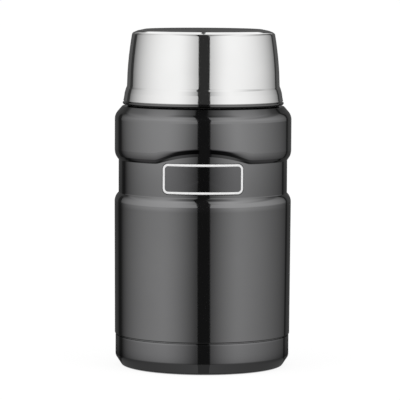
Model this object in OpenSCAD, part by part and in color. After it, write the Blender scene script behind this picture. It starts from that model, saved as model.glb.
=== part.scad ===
// Wide-mouth vacuum food jar: double-walled steel body, screw stopper, and an insulated bowl that is its lid.
// Millimetres, +Z up, origin at the centre of the resting face. The raised arch on the waist faces -Y.

/* [Jar body] */
// Outer diameter of the band above the waist
band_d = 101.8; // [98:0.2:108]
// How far the barrel stands in from the band, just below the waist
barrel_inset = 0; // [0:0.1:1]
// How far the barrel's foot, above the seam, stands in from its top
barrel_taper = 0.4; // [0:0.05:1]
// Depth of the recessed waist under the barrel's side
waist_depth = 2.3; // [2:0.1:4]
// How far the base cup stands in from the barrel's foot
base_cup_inset = 0.4; // [0.2:0.05:2]
// Height of the base cup, up to its seam with the barrel
base_cup_h = 18.6; // [15:0.1:24]
// Length of the barrel's straight wall
barrel_h = 76; // [50:0.1:110]
// Height of the waist, with the rolls above and below it
waist_h = 31.2; // [26:0.1:40]
// Length of the band's straight wall
band_h = 16.6; // [14:0.1:30]
// Height of the sloped shoulder above the band
shoulder_h = 7.6; // [6.4:0.1:9]
// Radius of the roll below the waist
low_roll_r = 8; // [6:0.5:10]
// Radius of the roll above the waist
high_roll_r = 10.5; // [6:0.5:12]
// Radius of the corner where the band turns into the shoulder
shoulder_corner_r = 7; // [3:0.5:7]
// Radius of the base cup's outer corner
base_corner_r = 11.3; // [9:0.1:14]
// Height at which that corner starts
base_corner_h = 8.4; // [6:0.1:9]
// How far the flat ledge that the lid closes on stands in from the band
ledge_inset = 4.3; // [3.5:0.1:4.5]
// Thickness of the outer steel
steel_t = 0.5; // [0.4:0.05:0.7]

/* [Waist arch] */
// Width of the arch that lifts the waist's upper edge at the front
arch_w = 54; // [40:1:62]
// Height of that arch
arch_h = 6; // [4:0.2:7]

/* [Inner vessel] */
// Gap between the waist's outer side and the inner vessel
vacuum_gap = 5.1; // [3.5:0.1:8]
// Thickness of the inner vessel's steel
vessel_t = 0.5; // [0.4:0.05:0.7]
// Height of the food side of the vessel's floor
vessel_floor_z = 17.5; // [17.5:0.5:24]
// Radius of the vessel's floor corner
vessel_corner_r = 8; // [5:0.5:12]
// Radius of the vessel's shoulder
vessel_shoulder_r = 5; // [3:0.5:7]
// Width of the ledge over the throat that the stopper's seal closes on
seal_ledge_w = 2.9; // [2.5:0.1:3.5]
// Height of the throat
throat_h = 3; // [2:0.5:5]

/* [Neck] */
// Width of the flat ledge round the neck
ledge_w = 6.6; // [6.4:0.1:7.6]
// Width of the neck's rolled lip, from its outer side to the mouth that the stopper screws into
lip_w = 3.5; // [3:0.1:4]
// Height of the neck above the ledge
neck_h = 13.5; // [13:0.5:16]

/* [Threads] */
// Rise of a thread in one turn, the same for the lid and the stopper
thread_lead = 15; // [12:0.5:16]
// Number of thread starts
thread_starts = 3; // [2:1:3]
// How far a thread stands out from its wall
thread_h = 1.2; // [0.9:0.05:1.3]
// Width of a thread at its root
thread_w = 2.2; // [1.6:0.1:2.4]
// Radial clearance between a thread and the wall that faces it
thread_gap = 0.4; // [0.3:0.05:0.5]
// Clearance along the axis between threads that bear on each other
flank_gap = 0.3; // [0.2:0.05:0.4]

/* [Lid] */
// Height of the lid, from its rim to its top
lid_h = 43.5; // [38:0.1:60]
// How far the lid's rim stands in from the ledge's edge
lid_rim_inset = 0.3; // [0:0.05:0.6]
// How far the lid's flare goes in from the rim
lid_flare_w = 2.35; // [1.8:0.05:2.8]
// How far the lid's side goes in from the flare to its top corner
lid_taper = 2.35; // [1:0.05:5]
// How far the lid's side bulges outward at mid height
lid_bulge = 0.3; // [0:0.05:1]
// Height of the flared part of the lid
lid_flare_h = 11.3; // [10.5:0.1:14]
// Radius of the lid's top corner
lid_corner_r = 5; // [3:0.5:6]
// Air gap between the lid's two walls
lid_air_gap = 1.7; // [1.2:0.1:2]
// Air gap between the lid's two tops
lid_top_gap = 2.5; // [1.5:0.1:5]
// Width of the top's rest round its shallow recess, with the top corner
lid_rest_w = 8.6; // [8:0.1:16]
// Gap between the ledge and the closed lid's rim
lid_gap = 0.7; // [0.5:0.1:1]

/* [Stopper] */
// How far the stopper's cap stands in from the neck's outer side
cap_inset = 0.6; // [0.4:0.1:2]
// Height of the cap above the neck's lip
cap_h = 7.2; // [6.4:0.2:10]
// Height of the grip bar above the cap's rim
grip_rise = 3.4; // [1:0.2:6]
// Width of the grip bar
grip_w = 15; // [10:0.5:20]
// Wall of the stopper's plug
plug_wall = 2; // [1.6:0.1:2.4]
// Height of the silicone gasket
gasket_h = 2.6; // [2:0.1:2.8]

/* [Hidden] */
$fn = 96;

steel = "silver";
gunmetal = "dimgray";
black_plastic = [0.09, 0.09, 0.1];

// Clearances and small sizes
fit_gap = 0.1;          // between pieces that are pressed or welded together
seat_gap = 0.3;         // between pieces that rest on each other and come apart
seam_gap = 0.3;         // visible line between the base cup and the barrel
skirt_gap = 0.15;       // between the base cup and the skirt that it slides over
neck_fillet_r = 1.5;    // where the ledge turns up into the neck
seam_edge_r = 0.6;      // rounded lower edge of the barrel
arc_steps = 8;          // straight steps in each quarter or smaller arc of a profile
cut = 1;                // how far a cutting shape runs past what it cuts

// Radii and heights of the body, from the bottom up
band_r = band_d / 2;
barrel_r = band_r - barrel_inset;
barrel_foot_r = barrel_r - barrel_taper;
base_r = barrel_foot_r - base_cup_inset;
waist_r = min(barrel_r, band_r) - waist_depth;
vessel_d = 2 * (waist_r - vacuum_gap);
ledge_r = band_r - ledge_inset;
neck_r = ledge_r - ledge_w;
mouth_r = neck_r - lip_w;
throat_r = mouth_r - seal_ledge_w;
lid_rim_d = 2 * (ledge_r - lid_rim_inset);
lid_side_d = lid_rim_d - 2 * lid_flare_w;
lid_top_d = lid_side_d - 2 * lid_taper;
lid_recess_d = lid_top_d - 2 * lid_rest_w;
cap_d = 2 * (neck_r - cap_inset);
seam_z = base_cup_h;
barrel_top_z = seam_z + barrel_h;
band_bottom_z = barrel_top_z + waist_h;
band_top_z = band_bottom_z + band_h;
ledge_z = band_top_z + shoulder_h;
lip_z = ledge_z + neck_h;
lip_r = (neck_r - mouth_r) / 2;
lip_base_z = lip_z - lip_r;
skirt_r = base_r - steel_t - skirt_gap;
skirt_bottom_z = 8;

// A point on an arc, and a run of them from angle a0 to a1
function on_arc(c, r, a) = c + r * [cos(a), sin(a)];
function arc(c, r, a0, a1, steps = arc_steps) = [for (i = [0:steps]) on_arc(c, r, a0 + (a1 - a0) * i / steps)];
function reversed(path) = [for (i = [len(path) - 1:-1:0]) path[i]];
function unit(v) = v / norm(v);
function left_of(v) = [-v[1], v[0]];
// Direction of a path's step that starts at point i
function step_at(path, i) = unit(path[i + 1] - path[i]);
// The path moved to its left by d, with mitred corners
function beside(path, d) = let (last = len(path) - 1) [
    for (i = [0:last])
        let (a = left_of(step_at(path, max(i - 1, 0))), b = left_of(step_at(path, min(i, last - 1))))
            path[i] + d * (a + b) / (1 + a * b)
];
// Angle on a circle at which a line from point p, above and inside it, touches its outer side
function tangent_angle(c, r, p) = atan2(p[1] - c[1], p[0] - c[0]) - acos(r / norm(p - c));
// The points of a path between two heights
function between(path, low, high) = [for (p = path) if (p[1] > low && p[1] < high) p];
// Where a straight line from p to q passes height z
function at_height(p, q, z) = [p[0] + (q[0] - p[0]) * (z - p[1]) / (q[1] - p[1]), z];

// A sheet of thickness t to the left of a path, turned about Z
module sheet(path, t) {
    rotate_extrude() polygon(concat(path, reversed(beside(path, t))));
}

// Everything inside a path, turned about Z
module inside_of(path) {
    top = path[len(path) - 1];
    rotate_extrude() polygon(concat([[0, path[0][1]]], path, [[0, top[1]]]));
}

module ring(inner_r, outer_r, low, high) {
    rotate_extrude() translate([inner_r, low]) square([outer_r - inner_r, high - low]);
}

/* Threads: helical beads, all with one lead, that stand out of a wall (side 1) or into it (side -1). */
thread_step = 5;                              // most degrees between a bead's cross-sections
crest_inset = 0.5;                            // how much narrower each side of a bead is at its crest
thread_root = 0.3;                            // how far a bead is rooted in its wall
thread_sink = 0.15;                           // how far a bead's ends dive under its wall's surface
thread_fade = 3;                              // cross-sections over which a bead rises to full height
thread_pitch = thread_lead / thread_starts;
fixed_span = 150;                             // degrees that a bead on the jar goes round
moving_from = 60;                             // where a bead on the lid or stopper starts, and its length
moving_span = 90;
moving_w = thread_w - 0.2;
// How far the middle of a moving bead lies under that of the fixed one that it bears on
bead_drop = (thread_w + moving_w) / 2 + flank_gap
    - crest_inset * (thread_h + thread_gap + 2 * thread_root) / (thread_h + thread_root);
neck_thread_z = ledge_z + neck_fillet_r + thread_w / 2 + 0.3;
mouth_thread_z = neck_thread_z + 0.6;

function bead_section(i, steps, r, w, side) =
    let (rise = min(1, i / thread_fade, (steps - i) / thread_fade),
         crest = r + side * (rise * (thread_h + thread_sink) - thread_sink),
         root = r - side * thread_root, at_crest = w / 2 - crest_inset)
    [[root, -w / 2], [crest, -at_crest], [crest, at_crest], [root, w / 2]];

module bead(r, z, from, span, w, side) {
    steps = ceil(span / thread_step);
    step_a = span / steps;
    points = [
        for (i = [0:steps], p = bead_section(i, steps, r, w, side))
            let (a = from + i * step_a)
                [p[0] * cos(a), p[0] * sin(a), z + thread_lead * i * step_a / 360 + p[1]]
    ];
    walls = [
        for (i = [0:steps - 1], k = [0:3])
            let (a = 4 * i + k, b = 4 * i + (k + 1) % 4)
                each [[a, b, b + 4], [a, b + 4, a + 4]]
    ];
    last = 4 * steps;
    faces = concat(walls, [[0, 2, 1], [0, 3, 2], [last, last + 1, last + 2], [last, last + 2, last + 3]]);
    polyhedron(points, side > 0 ? faces : [for (f = faces) reversed(f)]);
}

// A set of beads, one for each start. z is the height of the fixed thread at angle 0.
module beads(r, z, from, span, w, side) {
    for (s = [0:thread_starts - 1])
        bead(r, z + thread_lead * from / 360, from + thread_step / 2 + 360 * s / thread_starts, span, w, side);
}

/* Jar body */
low_roll_c = [barrel_r - low_roll_r, barrel_top_z];
high_roll_c = [band_r - high_roll_r, band_bottom_z];
shoulder_c = [band_r - shoulder_corner_r, band_top_z];
shoulder_a = tangent_angle(shoulder_c, shoulder_corner_r, [ledge_r, ledge_z]);
body_path = concat(
    [[skirt_r, skirt_bottom_z], [skirt_r, seam_z]],
    arc([barrel_foot_r - seam_edge_r, seam_z + seam_edge_r], seam_edge_r, 270, 360),
    arc(low_roll_c, low_roll_r, 0, acos((waist_r - low_roll_c[0]) / low_roll_r)),
    arc(high_roll_c, high_roll_r, -acos((waist_r - high_roll_c[0]) / high_roll_r), 0),
    arc(shoulder_c, shoulder_corner_r, 0, shoulder_a),
    [[ledge_r, ledge_z]],
    arc([neck_r + neck_fillet_r, ledge_z + neck_fillet_r], neck_fillet_r, 270, 180),
    [[neck_r, lip_base_z]]
);
body_inner_path = let (p = beside(body_path, steel_t), last = p[len(p) - 1])
    concat([[p[0][0], p[0][1] - cut]], [for (i = [1:len(p) - 2]) p[i]], [[last[0], last[1] + cut]]);

arch_r = (pow(arch_w / 2, 2) + pow(arch_h, 2)) / (2 * arch_h);
waist_top_z = band_bottom_z - sqrt(pow(high_roll_r, 2) - pow(waist_r - high_roll_c[0], 2));
arch_c_z = waist_top_z + arch_h - arch_r;

// What the arch takes out of the band, grown by t on the side of the jar's inside
module arch_pocket(t) {
    intersection() {
        ring(waist_r - t, band_r + cut, waist_top_z - 2 * cut, waist_top_z + arch_h + 2 * cut);
        translate([0, 0, arch_c_z]) rotate([90, 0, 0]) cylinder(r = arch_r + t, h = band_r + 2 * cut);
    }
}

module outer_shell() {
    color(gunmetal) union() {
        difference() {
            inside_of(body_path);
            arch_pocket(0);
            difference() {
                inside_of(body_inner_path);
                arch_pocket(steel_t);
            }
        }
        beads(neck_r, neck_thread_z, 0, fixed_span, thread_w, 1);
    }
}

base_panel_z = 1.6;             // how far the middle of the base is raised off the table
base_foot_w = 14.1;             // from the base cup's side to its raised panel
base_panel_r = base_r - base_foot_w;
module base_cup() {
    path = concat(
        [[0, base_panel_z], [base_panel_r, base_panel_z], [base_panel_r + base_panel_z, 0]],
        arc([base_r - base_corner_r, base_corner_h], base_corner_r, -asin(base_corner_h / base_corner_r), 0),
        [[base_r, seam_z - seam_gap]]
    );
    color(gunmetal) sheet(path, steel_t);
}

vacuum_floor_z = 12.5;
vacuum_floor_r = skirt_r - steel_t - fit_gap;
evacuation_hole_r = 1.5;
dimple_r = 6;
dimple_h = 1.6;
vacuum_corner_r = 2;
module vacuum_floor() {
    path = concat(
        [[evacuation_hole_r, vacuum_floor_z + dimple_h], [dimple_r, vacuum_floor_z + dimple_h],
         [dimple_r + dimple_h, vacuum_floor_z]],
        arc([vacuum_floor_r - vacuum_corner_r, vacuum_floor_z - vacuum_corner_r], vacuum_corner_r, 90, 0),
        [[vacuum_floor_r, skirt_bottom_z]]
    );
    color(steel) sheet(path, -steel_t);
}

module evacuation_seal() {
    top = vacuum_floor_z + dimple_h;
    under = top - steel_t;
    color("tan") rotate_extrude() polygon([
        [0, top], [evacuation_hole_r, top], [evacuation_hole_r, under], [3.5, under], [2.8, under - 0.7], [0, under - 1]
    ]);
}

getter_r = 3.5;
getter_h = 1.6;
getter_x = 20;
clip_t = 0.4;
clip_foot = 4;
clip_w = 5;
module getter() {
    color("darkgray") translate([getter_x, 0, vacuum_floor_z]) cylinder(r = getter_r, h = getter_h);
}

module getter_clip() {
    reach = getter_r + fit_gap;
    path = [
        [-reach - clip_t - clip_foot, 0], [-reach - clip_t, 0], [-reach, 0], [-reach, getter_h + fit_gap],
        [reach, getter_h + fit_gap], [reach, 0], [reach + clip_t + clip_foot, 0], [reach + clip_t + clip_foot, clip_t],
        [reach + clip_t, clip_t], [reach + clip_t, getter_h + fit_gap + clip_t],
        [-reach - clip_t, getter_h + fit_gap + clip_t], [-reach - clip_t, clip_t], [-reach - clip_t - clip_foot, clip_t]
    ];
    color(steel) translate([getter_x, clip_w / 2, vacuum_floor_z])
        rotate([90, 0, 0]) linear_extrude(clip_w) polygon(path);
}

/* Inner vessel: the path is its food side, from the floor's weld up to the lip */
vessel_r = vessel_d / 2 - vessel_t;
vessel_weld_z = vessel_floor_z + vessel_corner_r + 2;
shoulder_slope = 60;
throat_fillet_r = 3;
seal_ledge_z = lip_z - neck_h - 0.7;
throat_z = seal_ledge_z - throat_h;
slope_run = (vessel_r - vessel_shoulder_r * (1 - cos(shoulder_slope))) - (throat_r + throat_fillet_r * (1 - cos(shoulder_slope)));
vessel_shoulder_z = throat_z - (throat_fillet_r + vessel_shoulder_r) * sin(shoulder_slope) - slope_run / tan(shoulder_slope);
vessel_path = concat(
    [[vessel_r, vessel_weld_z]],
    arc([vessel_r - vessel_shoulder_r, vessel_shoulder_z], vessel_shoulder_r, 0, shoulder_slope),
    arc([throat_r + throat_fillet_r, throat_z], throat_fillet_r, 180 + shoulder_slope, 180),
    [[throat_r, seal_ledge_z], [mouth_r, seal_ledge_z]],
    arc([mouth_r + lip_r, lip_base_z], lip_r, 180, 0, 2 * arc_steps)
);
module inner_vessel() {
    color(steel) union() {
        sheet(vessel_path, -vessel_t);
        beads(mouth_r, mouth_thread_z, 0, fixed_span, thread_w, -1);
    }
}

module vessel_floor() {
    path = concat(
        [[0, vessel_floor_z]],
        arc([vessel_r - vessel_corner_r, vessel_floor_z + vessel_corner_r], vessel_corner_r, 270, 360),
        [[vessel_r, vessel_weld_z]]
    );
    color(steel) sheet(path, -vessel_t);
}

foil_t = 0.2;
foil_r = vessel_r + vessel_t + fit_gap;
module heat_shield() {
    color("peru") ring(foil_r, foil_r + foil_t, vessel_weld_z - 1, vessel_shoulder_z - 1);
}

module floor_foil() {
    top = vessel_floor_z - vessel_t - fit_gap;
    color("peru") translate([0, 0, top - foil_t]) cylinder(r = vessel_r - vessel_corner_r, h = foil_t);
}

/* Stopper */
plug_r = mouth_r - thread_h - thread_gap;
plug_bottom_z = seal_ledge_z - throat_h;
nose_r = throat_r - thread_gap;
gasket_z = seal_ledge_z + seat_gap;
gasket_outer_r = plug_r + 0.1;
groove_r = nose_r - 1.4;
groove_gap = 0.15;
plug_top_z = lip_z + 1.2;
plug_floor_t = 2;
module stopper_gasket() {
    color("gainsboro") ring(groove_r + groove_gap, gasket_outer_r, gasket_z, gasket_z + gasket_h);
}

module stopper_plug() {
    bore_r = groove_r - plug_wall;
    path = [
        [0, plug_bottom_z], [nose_r - 0.8, plug_bottom_z], [nose_r, plug_bottom_z + 0.8], [nose_r, gasket_z - groove_gap],
        [groove_r, gasket_z - groove_gap], [groove_r, gasket_z + gasket_h + groove_gap],
        [plug_r, gasket_z + gasket_h + groove_gap], [plug_r, plug_top_z],
        [plug_r - plug_wall, plug_top_z], [plug_r - plug_wall, gasket_z + gasket_h + groove_gap + plug_wall],
        [bore_r, gasket_z + gasket_h + groove_gap + plug_wall], [bore_r, plug_bottom_z + plug_floor_t],
        [0, plug_bottom_z + plug_floor_t]
    ];
    color(black_plastic) union() {
        rotate_extrude() polygon(path);
        beads(plug_r, mouth_thread_z - bead_drop, moving_from, moving_span, moving_w, 1);
    }
}

module stopper_foam() {
    low_r = groove_r - plug_wall - fit_gap;
    high_r = plug_r - plug_wall - fit_gap;
    step_z = gasket_z + gasket_h + groove_gap + plug_wall + fit_gap;
    color("whitesmoke") rotate_extrude() polygon([
        [0, plug_bottom_z + plug_floor_t + fit_gap], [low_r, plug_bottom_z + plug_floor_t + fit_gap], [low_r, step_z],
        [high_r, step_z], [high_r, plug_top_z - 1.6], [0, plug_top_z - 1.6]
    ]);
}

cap_r = cap_d / 2;
cap_bottom_z = lip_z + seat_gap;
cap_top_z = lip_z + cap_h;
cap_edge_r = 1.6;               // rounded upper edge of the cap
cap_rim_w = 5;                  // width of the cap's rim around the finger well
cap_floor_t = 2;                // thickness of the cap at the bottom of the well
well_r = cap_r - cap_rim_w;
well_z = plug_top_z + cap_floor_t;
grip_waist_r = 18;             // radius of the hollow in each side of the grip bar
rib_count = 36;
rib_r = 1.1;
module cap_blank() {
    spigot_r = plug_r - plug_wall - fit_gap;
    rotate_extrude() polygon(concat(
        [[0, plug_top_z - 1.5], [spigot_r, plug_top_z - 1.5], [spigot_r, plug_top_z], [plug_r + fit_gap, plug_top_z],
         [plug_r + fit_gap, cap_bottom_z]],
        [[cap_r - 0.6, cap_bottom_z], [cap_r, cap_bottom_z + 0.6]],
        arc([cap_r - cap_edge_r, cap_top_z - cap_edge_r], cap_edge_r, 0, 90),
        [[well_r + 1, cap_top_z], [well_r, cap_top_z - 1], [well_r, well_z], [0, well_z]]
    ));
}

// The bar across the finger well, waisted so that it is gripped between finger and thumb
module grip_bar() {
    top = cap_top_z + grip_rise;
    difference() {
        intersection() {
            translate([-well_r - cut, -grip_w / 2, well_z - cut]) cube([2 * (well_r + cut), grip_w, top - well_z + cut]);
            translate([0, 0, well_z - cut]) cylinder(r = well_r + 0.5, h = top - well_z + cut);
            rotate([90, 0, 0]) translate([0, top - 4 * well_r, -grip_w]) cylinder(r = 4 * well_r, h = 2 * grip_w);
        }
        for (side = [-1, 1])
            translate([0, side * (grip_w / 2 + grip_waist_r - 2), well_z - 2 * cut])
                cylinder(r = grip_waist_r, h = top - well_z + 3 * cut);
    }
}

module stopper_cap() {
    color(black_plastic) difference() {
        union() {
            cap_blank();
            grip_bar();
        }
        for (i = [0:rib_count - 1])
            rotate([0, 0, (i + 0.5) * 360 / rib_count]) translate([cap_r + 0.5, 0, cap_bottom_z - cut])
                cylinder(r = rib_r, h = cap_h + 2 * cut);
    }
}

/* Lid */
lid_z = ledge_z + lid_gap;
lid_top_z = lid_z + lid_h;
rim_r = lid_rim_d / 2;
rim_edge_r = 0.9;
rim_h = 1.6;
flare_low_r = rim_r - 0.4;
flare_low_z = lid_z + rim_h + 2;
side_r = lid_side_d / 2;
side_z = lid_z + lid_flare_h;
top_side_r = lid_top_d / 2;
hem_w = 2;
lid_top_lean = 5;               // how many degrees the lid's top rises towards its recess
lid_foot_w = 1.2;               // width of the flat ring that the lid stands on when it is used as a bowl
side_steps = 12;
side_run = lid_top_z - lid_corner_r - side_z;
top_lean = atan((side_r - top_side_r + 4 * lid_bulge) / side_run);
top_c_r = top_side_r - lid_corner_r * cos(top_lean);
top_c_z = lid_top_z - lid_corner_r * cos(lid_top_lean)
    - (top_c_r + lid_corner_r * sin(lid_top_lean) - lid_recess_d / 2 - lid_foot_w) * tan(lid_top_lean);
top_side_z = top_c_z + lid_corner_r * sin(top_lean);
function lid_side(u) = [side_r + (top_side_r - side_r) * u + 4 * lid_bulge * u * (1 - u), side_z + (top_side_z - side_z) * u];
lid_recess_h = 0.8;
lid_outer_path = concat(
    [[rim_r - hem_w, lid_z]],
    arc([rim_r - rim_edge_r, lid_z + rim_edge_r], rim_edge_r, 270, 360),
    [[rim_r, lid_z + rim_h], [flare_low_r, lid_z + rim_h + 0.8], [flare_low_r, flare_low_z]],
    [for (i = [0:side_steps - 1]) lid_side(i / side_steps)],
    arc([top_c_r, top_c_z], lid_corner_r, top_lean, 90 - lid_top_lean),
    [[lid_recess_d / 2 + lid_foot_w, lid_top_z], [lid_recess_d / 2, lid_top_z], [lid_recess_d / 2 - lid_recess_h, lid_top_z - lid_recess_h], [0, lid_top_z - lid_recess_h]]
);
module lid_shell() {
    color(steel) sheet(lid_outer_path, steel_t);
}

collar_bore_r = neck_r + thread_h + thread_gap;
collar_bottom_z = lid_z + steel_t + fit_gap;
collar_top_z = side_z + 1.2;
liner_offset = steel_t + lid_air_gap;
ring_groove_h = 1;
ring_outer_r = rim_r - hem_w - 0.3;
ring_inner_r = ring_outer_r - 1.8;
module lid_collar() {
    skin = beside(lid_outer_path, steel_t + fit_gap);
    edge = lid_side(0);
    up = lid_side(1 / side_steps);
    liner_r = at_height(edge, up, collar_top_z)[0] - liner_offset - steel_t;
    outer = between(skin, collar_bottom_z + 0.2, collar_top_z - 0.1);
    last = outer[len(outer) - 1];
    path = concat(
        [[ring_outer_r + 0.2, collar_bottom_z]], [[outer[0][0] - 0.4, collar_bottom_z]], outer,
        [[last[0], collar_top_z], [liner_r, collar_top_z], [liner_r, collar_top_z - 1.2], [collar_bore_r, collar_top_z - 1.8],
         [collar_bore_r, collar_bottom_z], [ring_inner_r - 0.2, collar_bottom_z],
         [ring_inner_r - 0.2, collar_bottom_z + ring_groove_h], [ring_outer_r + 0.2, collar_bottom_z + ring_groove_h]]
    );
    color(black_plastic) union() {
        rotate_extrude() polygon(path);
        beads(collar_bore_r, neck_thread_z - bead_drop, moving_from, moving_span, moving_w, -1);
    }
}

module lid_seat_ring() {
    color("black") ring(ring_inner_r, ring_outer_r, ledge_z + seat_gap, collar_bottom_z + ring_groove_h - fit_gap);
}

liner_corner_r = 5;
liner_top_z = lid_top_z - lid_recess_h - steel_t - lid_top_gap;
module lid_liner() {
    side = beside([for (i = [0:side_steps]) lid_side(i / side_steps)], liner_offset);
    low = at_height(side[0], side[1], collar_top_z);
    side_end_z = liner_top_z - liner_corner_r;
    top_r = at_height(side[side_steps - 3], side[side_steps], side_end_z)[0];
    path = concat([low], between(side, collar_top_z + 0.1, side_end_z - 0.1),
        arc([top_r - liner_corner_r, side_end_z], liner_corner_r, 0, 90), [[0, liner_top_z]]);
    color(steel) sheet(path, steel_t);
}

outer_shell();
base_cup();
vacuum_floor();
evacuation_seal();
getter();
getter_clip();
inner_vessel();
vessel_floor();
heat_shield();
floor_foil();
stopper_gasket();
stopper_plug();
stopper_foam();
stopper_cap();
lid_seat_ring();
lid_collar();
lid_liner();
lid_shell();
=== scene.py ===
"""Wide-mouth vacuum food jar: steel body with a recessed waist, screw stopper, and an insulated bowl
that is its lid.

The script follows the jar as it is put together, from the outer shell to the lid. Sizes are in
millimetres and become metres where a mesh is made. Profiles are (radius from the jar's axis, height)
pairs, turned about Z.
"""

import bpy
import numpy as np
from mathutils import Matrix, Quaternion


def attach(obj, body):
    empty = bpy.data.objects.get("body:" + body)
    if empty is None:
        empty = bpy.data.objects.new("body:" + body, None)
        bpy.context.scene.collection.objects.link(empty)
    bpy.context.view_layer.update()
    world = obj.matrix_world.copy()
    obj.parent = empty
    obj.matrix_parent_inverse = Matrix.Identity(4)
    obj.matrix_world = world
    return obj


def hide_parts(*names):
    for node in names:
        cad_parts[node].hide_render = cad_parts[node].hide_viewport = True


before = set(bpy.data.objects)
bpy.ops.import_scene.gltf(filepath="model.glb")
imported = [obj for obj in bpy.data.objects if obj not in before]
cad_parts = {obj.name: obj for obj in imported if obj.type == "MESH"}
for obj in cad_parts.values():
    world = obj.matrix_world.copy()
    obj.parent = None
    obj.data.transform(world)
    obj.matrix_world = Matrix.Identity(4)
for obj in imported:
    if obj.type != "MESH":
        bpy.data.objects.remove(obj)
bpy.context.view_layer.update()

# --------------------------------------------------------------------------------------------------
# Outer shell: one pressed and rolled steel tube with the barrel, the recessed waist between its two
# rolls, the band, the shoulder and the neck. The lid's three-start thread is rolled into the neck.
# Gunmetal colour under clear coat, with painted highlights on the low roll and the shoulder's corner and
# painted shade at the ledge under the lid.


def rounded(corners, steps=6):
    """A path through corner points, each (radius, height, fillet). A fillet's arc touches both sides of
    its corner: its centre lies on the corner's bisector, and the arc turns evenly between the two
    touching points. Where two fillets need more than the side between them, both shrink to fit. Next to
    each arc a support point keeps the straight side's shading flat. Extra axes, such as one for the
    angle, are kept."""
    side_share, support_share, longest_support = 0.96, 0.3, 0.25
    corners = [np.asarray(c, float) for c in corners]
    shape = np.broadcast_shapes(*[c.shape for c in corners])
    p = np.stack([np.broadcast_to(c, shape) for c in corners])
    points, fillet = p[..., :2], p[..., 2:]
    step = np.diff(points, axis=0)
    room = np.linalg.norm(step, axis=-1, keepdims=True)
    step = step / room
    half = np.arccos(np.clip(-(step[:-1] * step[1:]).sum(-1, keepdims=True), -1, 1)) / 2
    half = np.minimum(half, np.pi / 2 - 1e-3)
    reach = np.zeros_like(fillet)
    reach[1:-1] = fillet[1:-1] / np.tan(half)
    share = np.minimum(1, side_share * room / (reach[:-1] + reach[1:] + 1e-9))
    reach[1:-1] *= np.minimum(share[:-1], share[1:])
    spare = room - reach[:-1] - reach[1:]
    rows = [points[0]]
    for i in range(1, len(p) - 1):
        back, ahead, wide = -step[i - 1], step[i], half[i - 1]
        r = reach[i] * np.tan(wide)
        inward = (back + ahead) / (np.linalg.norm(back + ahead, axis=-1, keepdims=True) + 1e-12)
        centre = points[i] + inward * r / np.sin(wide)
        first = (points[i] + back * reach[i] - centre) / r
        last = (points[i] + ahead * reach[i] - centre) / r
        turn = np.pi - 2 * wide
        most = np.minimum(longest_support, support_share * reach[i])
        rows.append(points[i] + back * (reach[i] + np.minimum(most, support_share * spare[i - 1])))
        for s in np.linspace(0, 1, steps + 1):
            blend = np.sin((1 - s) * turn) * first + np.sin(s * turn) * last
            rows.append(centre + r * blend / np.sin(turn))
        rows.append(points[i] + ahead * (reach[i] + np.minimum(most, support_share * spare[i])))
    rows.append(points[-1])
    return np.stack(rows)


def thick(corners, t):
    """Corners of a sheet whose one face follows the given corners and whose other face lies t to their
    left (to their right where t is negative). The moved corners are mitred, and their fillets grow or
    shrink by t."""
    c = np.array(corners, float)
    step = np.diff(c[:, :2], axis=0)
    step /= np.linalg.norm(step, axis=1)[:, None]
    left = np.stack([-step[:, 1], step[:, 0]], 1)
    a, b = np.vstack([left[:1], left]), np.vstack([left, left[-1:]])
    moved = c.copy()
    moved[:, :2] += t * (a + b) / (1 + (a * b).sum(1))[:, None]
    bend = np.zeros(len(c))
    bend[1:-1] = np.sign(step[:-1, 0] * step[1:, 1] - step[:-1, 1] * step[1:, 0])
    moved[:, 2] = np.maximum(c[:, 2] - t * bend, 0.06)
    return moved


def sheet_loop(corners, t, edge=0.2):
    """The closed path round a sheet of thickness t: up its outer face, over its edge and down its inner
    face."""
    other = thick(corners, t)
    given = np.array(corners, float)
    outer, inner = (given, other) if t > 0 else (other, given)
    loop = np.vstack([outer, inner[::-1]])
    for i in (0, len(outer) - 1, len(outer), len(loop) - 1):
        loop[i, 2] = edge
    middle = (loop[0] + loop[-1]) / 2
    return rounded(np.vstack([middle[None], loop, middle[None]]))[:-1]


def turned(path, around=360):
    """Points of a path turned about Z: (radius cos a, radius sin a, height) for a from 0 to a full
    turn."""
    a = np.linspace(0, 2 * np.pi, around, endpoint=False)
    if path.ndim == 2:
        path = path[:, None, :]
    r, z = np.broadcast_arrays(path[..., 0], path[..., 1])
    r = np.broadcast_to(r, (len(path), around))
    z = np.broadcast_to(z, (len(path), around))
    return np.stack([r * np.cos(a), r * np.sin(a), z], -1)


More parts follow.
